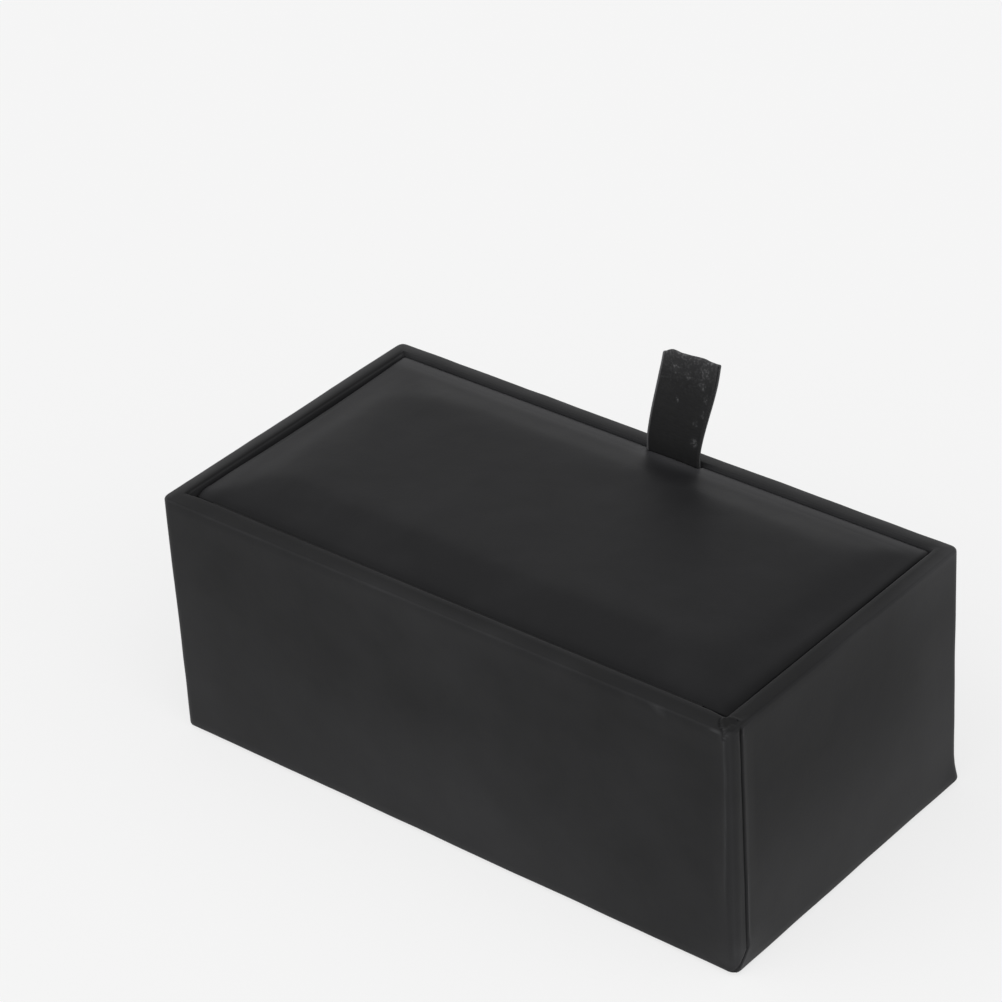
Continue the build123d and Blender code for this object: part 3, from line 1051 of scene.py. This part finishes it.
def pad_wear_and_light(co, normal):
    """Painted highlight along the rear edge, narrowing to the right, painted light beside the ribbon
    to lift its shadow, a painted highlight along the left end, and faint random rubbing.
    """
    high = PAD_HIGH
    up = ramp(co.z, PAD_EDGE_Z - MM, PAD_EDGE_Z)
    rear = 0.8 * hump(co.y - high.y - 0.4 * MM, 3.4 * MM) if co.y > 0 else 0.0
    to_right = ramp(co.x, 10 * MM, 34 * MM)
    thin = 0.5 * to_right * hump(co.y - high.y - 0.3 * MM, 1.3 * MM)
    rear = rear * (1.1 - 0.6 * to_right) + thin
    rear += 0.75 * hump(co.x - BEND.x, 6.5 * MM) * hump(co.y - high.y, 4.5 * MM)
    left = (0.16 + 0.2 * ramp(-co.y, 5 * MM, 14 * MM)) * ramp(-co.x, high.x - 3 * MM, high.x)
    return up * (0.1 * max(0.0, noise.noise(co * 90)) + rear + left)


def pad_shade(co, normal):
    """Painted shade where the right and front edges turn down beside the rim."""
    if co.z <= PAD_EDGE_Z - MM:
        return 0.0
    wide = (0.6 + 1.7 * ramp(-co.y, -10 * MM, 10 * MM)) * MM
    right = 0.36 * ramp(co.x, PAD_HIGH.x + 0.3 * MM - wide, PAD_HIGH.x + 0.3 * MM)
    front = 0.16 * ramp(-co.y, -PAD_LOW.y - 1.4 * MM, -PAD_LOW.y)
    return max(right, front)


def make_lid_cover():
    """The lid's leatherette, drawn over its padding and turned under, and the padding itself."""
    cover = cut_pad()
    press(cover, pad_crown)

    def held(co):
        return 1.0 if co.z < PAD_EDGE_Z - 0.7 * MM else 1 - ramp(pad_inset(co), 0.4 * MM, 6 * MM)

    def top(co):
        return ramp(pad_inset(co), 0.2 * MM, 3 * MM) if co.z > PAD_EDGE_Z - MM else 0.0

    inflate(cover, held, pressure=6.0, cap=0.3 * MM)
    apply_modifier(cover, "SUBSURF", levels=1, render_levels=1)
    ripple(cover, 9 * MM, 0.1 * MM, top)
    ripple(cover, 2.6 * MM, 0.025 * MM, top)
    press(cover, pad_ease)

    padding = copy_of(cover, "lid_padding")
    apply_modifier(padding, "DISPLACE", strength=-PADDING_INSET, mid_level=0.0)
    open_mesh(padding)
    bpy.ops.mesh.select_all(action="SELECT")
    foot = (0, 0, BOARD_TOP_Z + 0.02 * MM)
    bpy.ops.mesh.bisect(plane_co=foot, plane_no=(0, 0, 1), clear_inner=True, use_fill=True)
    close_mesh()
    smooth(padding)
    finish_piece(padding, "lid", FOAM, "foam", "lid_foam")

    def inner_bottom(face):
        return face.normal.z < -0.9 and pad_inset(middle(face)) > TURN_UNDER - 1.2 * MM

    open_mesh(cover)
    choose(cover, "FACE", inner_bottom)
    bpy.ops.mesh.delete(type="FACE")
    close_mesh()
    apply_modifier(cover, "SOLIDIFY", thickness=SKIN, offset=-1, use_quality_normals=True)
    mark(cover, "wear_and_light", pad_wear_and_light)
    mark(cover, "shade", pad_shade)
    smooth(cover)
    finish_piece(cover, "lid", PAD_LEATHERETTE, "lid_leatherette", "lid_cover")


# ---- hinge strip and ribbon --------------------------------------------------------------------


def make_hinge_strip():
    """One leatherette strip: up the wall, over the hinge line, down the lid's edge and under it."""
    wall_y = WALL_LEAF_LOW.y + SKIN / 2
    lid_y = LID_LEAF_LOW.y + SKIN / 2
    radius = (lid_y - wall_y) / 2
    under_z = LID_LEAF_LOW.z + SKIN / 2
    turn = 0.2 * MM
    path = line((wall_y, WALL_LEAF_LOW.z), (wall_y, HINGE.z), 0.75 * MM)
    path += arc((HINGE.y, HINGE.z), radius, 180, 0, 12)
    path += line((lid_y, HINGE.z), (lid_y, under_z + turn), 0.6 * MM)
    path += arc((lid_y + turn, under_z + turn), turn, 180, 270, 4)
    path += line((lid_y + turn, under_z), (LID_LEAF_HIGH.y, under_z), 0.8 * MM)
    path.append(Vector((LID_LEAF_HIGH.y, under_z)))
    width = WALL_LEAF_HIGH.x - WALL_LEAF_LOW.x
    strip = draw_strip("hinge_strip", 0.0, width, path, 60)
    apply_modifier(strip, "SOLIDIFY", thickness=SKIN, offset=0)
    # painted shade over the fold, with a faintly paler line along its top, so that it shows as a thin
    # dark line between the rim and the lid
    mark(strip, "wear_and_light", lambda co, n: 0.1 * hump(co.z - HINGE.z - 0.3 * MM, 0.5 * MM))
    mark(strip, "shade", lambda co, n: 0.45 * hump(co.z - HINGE.z - 0.3 * MM, 1.2 * MM))
    smooth(strip)
    finish_piece(strip, None, LEATHERETTE, "leatherette", "strip_wall_leaf", "strip_lid_leaf")
    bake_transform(strip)


RIBBON_WIDTH = TAIL_HIGH.x - TAIL_LOW.x
RIBBON_LENGTH = 12.6 * MM  # bend to the top of the loop
RIBBON_LOOP = 0.2 * MM  # radius of the loop's top, flattened by handling
RIBBON_LEAN = 16  # degrees back from upright
SELVEDGE = 0.16 * MM

# Painted glints, where handling has crushed the ribbon's weave, in millimetres: how far
# right of the middle, how far below the top, and the patch's radius.
GLINT_PATCHES = [
    (-1.7, 1.7, 0.7), (0.1, 2.1, 0.6), (2.4, 1.3, 0.8), (2.3, 2.8, 0.6), (3.3, 4.2, 0.45),
    (3.3, 6.0, 0.45), (2.6, 7.4, 0.45), (3.0, 9.8, 0.7), (-3.5, 3.6, 0.35), (-0.6, 5.2, 0.3),
]


def ribbon_spine(along):
    """Where the middle of the pull is, and which way it runs, this far past the bend."""
    place, lean, step = Vector((BEND.y, BEND.z)), 0.0, 0.1 * MM
    for k in range(round(along / step)):
        curl = 0.72 * ramp(k * step, 0, 2.0 * MM) + 0.42 * k * step / RIBBON_LENGTH
        lean = radians(RIBBON_LEAN) * curl
        place += step * Vector((sin(lean), cos(lean)))
    return place, lean


def ribbon_side(along, spread):
    """A point of one ply, this far past the bend and this far from the pull's middle."""
    place, lean = ribbon_spine(along)
    return place + spread * Vector((cos(lean), -sin(lean)))


def ribbon_path():
    """The ribbon from the side, in (Y, Z): under the lid, up its edge, the loop, and back."""
    outer_y, inner_y = TAIL_HIGH.y - PLY / 2, TAIL_HIGH.y - 1.5 * PLY
    lower_z, upper_z = TAIL_LOW.z + PLY / 2, TAIL_LOW.z + 1.5 * PLY
    start_y, top_z = TAIL_LOW.y, BEND.z
    outer_turn, inner_turn = 0.34 * MM, 0.12 * MM
    loop_at = RIBBON_LENGTH - RIBBON_LOOP - PLY / 2
    path = line((start_y, lower_z), (outer_y - outer_turn, lower_z), 0.8 * MM)
    path += arc((outer_y - outer_turn, lower_z + outer_turn), outer_turn, -90, 0, 5)
    path += line((outer_y, lower_z + outer_turn), (outer_y, top_z), 0.5 * MM)

    def spread(along):
        return PLY / 2 + (RIBBON_LOOP - PLY / 2) * ramp(along, 1.5 * MM, loop_at)

    stations = [loop_at * k / 26 for k in range(27)]
    path += [ribbon_side(along, spread(along)) for along in stations[:-1]]
    crown, _ = ribbon_spine(loop_at)
    path += arc(crown, RIBBON_LOOP, -RIBBON_LEAN, 180 - RIBBON_LEAN, 12)
    path += [ribbon_side(along, -spread(along)) for along in reversed(stations)]
    path += line((inner_y, top_z - 0.3 * MM), (inner_y, upper_z + inner_turn), 0.5 * MM)
    path += arc((inner_y - inner_turn, upper_z + inner_turn), inner_turn, 0, -90, 4)
    path += line((inner_y - inner_turn, upper_z), (start_y, upper_z), 0.8 * MM)
    path.append(Vector((start_y, upper_z)))
    return path


def ribbon_crumple(co, normal):
    """The loop has been handled: it twists a little and its top corner is softened."""
    up = ramp(co.z, BEND.z, BEND.z + 11 * MM)
    if up <= 0:
        return None
    across = (co.x - BEND.x) / (RIBBON_WIDTH / 2)
    move = Vector()
    wave = noise.noise(Vector((co.x * 420, co.z * 150, 1.7)))
    fine = noise.noise(Vector((co.x * 1500, co.z * 500, 5.1)))
    move += normal * up * (0.12 * wave + 0.04 * fine) * MM
    move.x += up * (0.8 + 0.26 * across - 0.08 * max(-1, min(1, 2 * normal.y))) * MM
    move.y += up * up * (0.25 + 0.12 * sin(across * 5.2)) * MM
    crest = ramp(co.z, BEND.z + 9 * MM, BEND.z + 12 * MM)
    move.z -= 0.65 * MM * ramp(-across, 0.66, 1.02) * crest
    move.z += (0.1 * across + 0.2 - 0.14 * hump(across - 0.1, 0.4)) * MM * crest
    return move


def below_top(co):
    """How far below the ribbon's top a point is, in millimetres."""
    return (BEND.z + 12.2 * MM - co.z) / MM


def ribbon_glints(co, normal):
    """Painted glints on crushed patches, and a painted highlight along the loop's crimped top; both
    also make the weave less rough.
    """
    across, below = (co.x - BEND.x) / MM, below_top(co)
    glints = sum(hump(hypot(across - x, below - z), size) for x, z, size in GLINT_PATCHES)
    top = 0.35 * hump(below - 0.2, 0.6) + 0.12 * hump(below, 6.0)
    return min(1.0, 0.8 * glints + top)


def ribbon_sheen(co, normal):
    """A soft sheen that fades down from the top."""
    below = below_top(co)
    return 0.01 + 0.02 * ramp(-below, -11, -6) + 0.1 * hump(below, 3.4)


def ribbon_edge_highlight(co, normal):
    """Painted highlights along the two woven edges: brightest on the left, faintest on the right from
    behind.
    """
    edge = ramp(abs(co.x - BEND.x), RIBBON_WIDTH / 2 - 0.3 * MM, RIBBON_WIDTH / 2 - 0.15 * MM)
    return edge * (1.5 if co.x < BEND.x else 0.1 if normal.y > 0 else 1.0)


def make_ribbon():
    """One ribbon: both ends glued under the lid, up its edge, and a flattened loop above it."""
    ribbon = draw_strip("ribbon_pull", BEND.x, RIBBON_WIDTH, ribbon_path(), 26)
    open_mesh(ribbon)
    for side in (-1, 1):
        slice_mesh(ribbon, (BEND.x + side * (RIBBON_WIDTH / 2 - SELVEDGE), 0, 0), (1, 0, 0))
    close_mesh()
    mark(ribbon, "crimp_glint", ribbon_glints)
    mark(ribbon, "sheen", ribbon_sheen)
    mark(ribbon, "edge_highlight", ribbon_edge_highlight)
    press(ribbon, ribbon_crumple)
    apply_modifier(ribbon, "SOLIDIFY", thickness=PLY, offset=0, use_quality_normals=True)
    smooth(ribbon)
    finish_piece(ribbon, None, RIBBON, "ribbon", "ribbon_tail", "ribbon_tab")
    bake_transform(ribbon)


# ---- inside: liners, insert, lining --------------------------------------------------------------


def make_liner(node, into):
    """Pile cloth over a liner board: down its face and over its top edge."""
    low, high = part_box(node)
    cloth = block(node.replace("liner_velvet", "liner_cloth"), low, high)
    into = Vector(into)
    open_mesh(cloth)
    choose(cloth, "FACE", lambda f: f.normal.z < 0.9 and f.normal.dot(into) < 0.9)
    bpy.ops.mesh.delete(type="FACE")
    choose(cloth, "EDGE", lambda e: len(e.link_faces) == 2)
    bpy.ops.mesh.bevel(offset=0.55 * MM, segments=4, affect="EDGES")
    slice_evenly(cloth, 1.3 * MM, low, high)
    close_mesh()

    def ease(co):
        return ramp(high.z - co.z, 0.0, 2 * MM)

    ripple(cloth, 6 * MM, 0.1 * MM, ease)
    apply_modifier(cloth, "SOLIDIFY", thickness=VELVET, offset=-1, use_quality_normals=True)
    smooth(cloth)
    finish_piece(cloth, "box", VELVET_PILE, "velvet", node)


SLIT_X = 19.0 * MM
SLIT_LENGTH, SLIT_WIDTH, SLIT_DEPTH = 18.0 * MM, 2.4 * MM, 9.0 * MM


def make_insert_form(name, low, high, shoulder, lip, spare):
    """A block with round shoulders and two long slits, whose lips roll into them."""
    form = block(name, low, high)
    centre_y = (low.y + high.y) / 2
    half_length, half_width = SLIT_LENGTH / 2 + spare, SLIT_WIDTH / 2 + spare
    open_mesh(form)
    choose(form, "FACE", lambda f: f.normal.z < -0.9)
    bpy.ops.mesh.delete(type="FACE")
    choose(form, "EDGE", lambda e: middle(e).z > high.z - 1e-6)
    bpy.ops.mesh.bevel(offset=shoulder, segments=5, affect="EDGES")

    def on_top(face):
        return face.normal.z > 0.99

    for side in (-1, 1):
        for end in (-1, 1):
            slice_mesh(form, (side * SLIT_X + end * half_length, 0, 0), (1, 0, 0), on_top)
    for end in (-1, 1):
        slice_mesh(form, (0, centre_y + end * half_width, 0), (0, 1, 0), on_top)

    def in_slit(place):
        return (
            abs(abs(place.x) - SLIT_X) < half_length + 1e-6
            and abs(place.y - centre_y) < half_width + 1e-6
        )

    choose(form, "FACE", lambda f: on_top(f) and in_slit(middle(f)))
    bpy.ops.mesh.extrude_region_move(TRANSFORM_OT_translate={"value": (0, 0, -SLIT_DEPTH)})
    choose(form, "EDGE", lambda e: runs(e, 2) and in_slit(middle(e)) and middle(e).z < high.z - MM)
    bpy.ops.mesh.bevel(offset=half_width * 0.96, segments=5, affect="EDGES")

    def on_lip(edge):
        return level(edge, high.z) and in_slit(middle(edge)) and sharp(edge, 1.0)

    choose(form, "EDGE", on_lip)
    bpy.ops.mesh.bevel(offset=lip, segments=4, affect="EDGES")
    slice_evenly(form, 1.5 * MM, low, high)
    close_mesh()
    return form


def make_insert():
    """The insert's cloth, puffed between its slits, and the foam under it."""
    low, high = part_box("insert_velvet")
    foam_low, foam_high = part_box("insert_foam")
    shoulder = 1.5 * MM
    cloth = make_insert_form("insert_cloth", low, high, shoulder, 0.9 * MM, 0.0)
    centre_y = (low.y + high.y) / 2

    def held(co):
        edge = min(high.x - abs(co.x), high.y - co.y, co.y - low.y)
        slit = max(
            abs(abs(co.x) - SLIT_X) - SLIT_LENGTH / 2, abs(co.y - centre_y) - SLIT_WIDTH / 2
        )
        if co.z < high.z - 1.6 * MM or slit < 0:
            return 1.0
        return 1 - min(ramp(edge, 0.0, 4 * MM), ramp(slit, 0.0, 3.5 * MM))

    inflate(cloth, held, pressure=8.0, cap=0.6 * MM)
    ripple(cloth, 7 * MM, 0.12 * MM, lambda co: 1 - held(co))
    apply_modifier(cloth, "SOLIDIFY", thickness=VELVET * 0.96, offset=-1, use_quality_normals=True)
    smooth(cloth)
    finish_piece(cloth, "box", VELVET_PILE, "velvet", "insert_velvet")

    foam = make_insert_form(
        "insert_padding", foam_low, foam_high, shoulder - VELVET, 0.5 * MM, VELVET
    )
    open_mesh(foam)
    choose(foam, "EDGE", lambda e: e.is_boundary)
    bpy.ops.mesh.edge_face_add()
    close_mesh()
    smooth(foam)
    finish_piece(foam, "box", FOAM, "foam", "insert_foam")


BED_ROOM = 0.06 * MM  # round the hinge strip's leaf, where the lining is cut back for it


def make_lining():
    """Satin over the lining card, turned up round its edges, with beds for what lies over it."""
    low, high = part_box("lid_lining_satin")
    satin = block("lid_lining_cloth", low, high)
    open_mesh(satin)
    choose(satin, "FACE", lambda f: f.normal.z > 0.9)
    bpy.ops.mesh.delete(type="FACE")
    choose(satin, "EDGE", lambda e: middle(e).z < low.z + 1e-6 or runs(e, 2))
    bpy.ops.mesh.bevel(offset=0.35 * MM, segments=3, affect="EDGES")
    slice_evenly(satin, 1.4 * MM, low, high, axes=(0, 1))
    bed_z = LID_LEAF_LOW.z - BED_ROOM
    slice_mesh(satin, (0, 0, bed_z), (0, 0, 1))
    for x in (WALL_LEAF_LOW.x - BED_ROOM, WALL_LEAF_HIGH.x + BED_ROOM):
        slice_mesh(satin, (x, 0, 0), (1, 0, 0), lambda f: middle(f).z > bed_z)

    def in_bed(face):
        place = middle(face)
        by_strip = place.y < low.y + MM and abs(place.x) < WALL_LEAF_HIGH.x + BED_ROOM
        by_ribbon = place.y > high.y - MM and abs(place.x - BEND.x) < 5 * MM
        return place.z > bed_z and (by_strip or by_ribbon)

    choose(satin, "FACE", in_bed)
    bpy.ops.mesh.delete(type="FACE")
    close_mesh()

    def under(co):
        inset = min(high.x - abs(co.x), high.y - co.y, co.y - low.y)
        return ramp(inset, 0.5 * MM, 5 * MM) if co.z < low.z + 0.1 * MM else 0.0

    ripple(satin, 11 * MM, 0.16 * MM, under)
    press(satin, lambda co, normal: Vector((0, 0, -0.18 * MM * under(co))))
    apply_modifier(satin, "SOLIDIFY", thickness=0.28 * MM, offset=-1, use_quality_normals=True)
    smooth(satin)
    finish_piece(satin, "lid", SATIN, "satin", "lid_lining_satin")


# ---- run ---------------------------------------------------------------------------------------

make_box_covering()
make_lid_cover()
make_hinge_strip()
make_ribbon()
make_liner("hinge_side_liner_velvet", (0, 1, 0))
make_liner("pull_side_liner_velvet", (0, -1, 0))
make_liner("left_liner_velvet", (1, 0, 0))
make_liner("right_liner_velvet", (-1, 0, 0))
make_insert()
make_lining()

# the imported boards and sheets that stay: one finish each
for name, finish in {
    "wall_board": GREYBOARD,
    "base_board": GREYBOARD,
    "lid_board": GREYBOARD,
    "hinge_side_liner_board": GREYBOARD,
    "pull_side_liner_board": GREYBOARD,
    "left_liner_board": GREYBOARD,
    "right_liner_board": GREYBOARD,
    "lid_lining_card": LINER_CARD,
    "base_cover": BASE_PAPER,
}.items():
    for place in frame["nodes"][name].material_slots:
        place.material = finish

# ---- floor, light, camera ------------------------------------------------------------------------


def direct_look(bench):
    """1 for what the camera sees, itself or in a gloss, and 0 for the light on a surface."""
    camera_ray = bench.node("ShaderNodeLightPath", output=0)
    glossy_ray = bench.node("ShaderNodeLightPath", output=3)
    clear_ray = bench.node("ShaderNodeLightPath", output=6)
    return (camera_ray + glossy_ray + clear_ray).clipped()


def lamp(name, direction, distance, size, power):
    """A soft square lamp that looks at the middle of the box."""
    away = Vector(direction).normalized() * distance
    target = Vector((0, 0, 0.02))
    bpy.ops.object.light_add(type="AREA", location=target + away)
    made = bpy.context.object
    made.name = name
    made.rotation_euler = (-away).to_track_quat("-Z", "Y").to_euler()
    made.data.size = size
    made.data.energy = power


bpy.ops.object.select_all(action="DESELECT")
bpy.ops.mesh.primitive_plane_add(size=6, location=(0, 0, 0))
floor = bpy.context.object
floor.name = "floor"

pale_floor = bpy.data.materials.new("pale_floor")
pale_floor.use_nodes = True
ground = Bench(pale_floor.node_tree)
lit = ground.node("ShaderNodeBsdfDiffuse", {"Color": (0.94, 0.94, 0.94, 1), "Roughness": 0.9})
plain = ground.node("ShaderNodeEmission", {"Color": (1, 1, 1, 1), "Strength": 1.0})
pale = ground.node("ShaderNodeMixShader", {0: 0.72 * direct_look(ground), 1: lit, 2: plain})
ground.node("ShaderNodeOutputMaterial", {"Surface": pale})
coat(floor, pale_floor)

world = bpy.data.worlds.new("studio")
bpy.context.scene.world = world
world.use_nodes = True
sky = Bench(world.node_tree)
backdrop = sky.node(
    "ShaderNodeBackground", {"Color": (1, 1, 1, 1), "Strength": 0.45 + 0.55 * direct_look(sky)}
)
sky.node("ShaderNodeOutputWorld", {"Surface": backdrop})

lamp("front_left_softbox", (-0.75, -0.75, 0.75), 1.4, 2.0, 5.5)
lamp("right_softbox", (0.95, -0.15, 0.6), 1.4, 2.0, 4.5)
lamp("overhead_softbox", (0.0, -0.35, 1.0), 1.4, 2.0, 3.5)

camera_data = bpy.data.cameras.new("camera")
camera = bpy.data.objects.new("camera", camera_data)
bpy.context.scene.collection.objects.link(camera)
camera_data.sensor_width = 36
camera_data.lens = 137.42
camera_data.clip_start = 0.01
camera_right = Vector((0.77466, 0.63015, -0.05292))
camera_down = Vector((0.30393, -0.44439, -0.84270))
camera_forward = Vector((-0.55455, 0.63673, -0.53578))
turn = Matrix((camera_right, -camera_down, -camera_forward)).transposed()
camera.matrix_world = Matrix.Translation((0.24574, -0.29116, 0.27904)) @ turn.to_4x4()
bpy.context.scene.camera = camera
bpy.context.scene.view_settings.view_transform = "Standard"
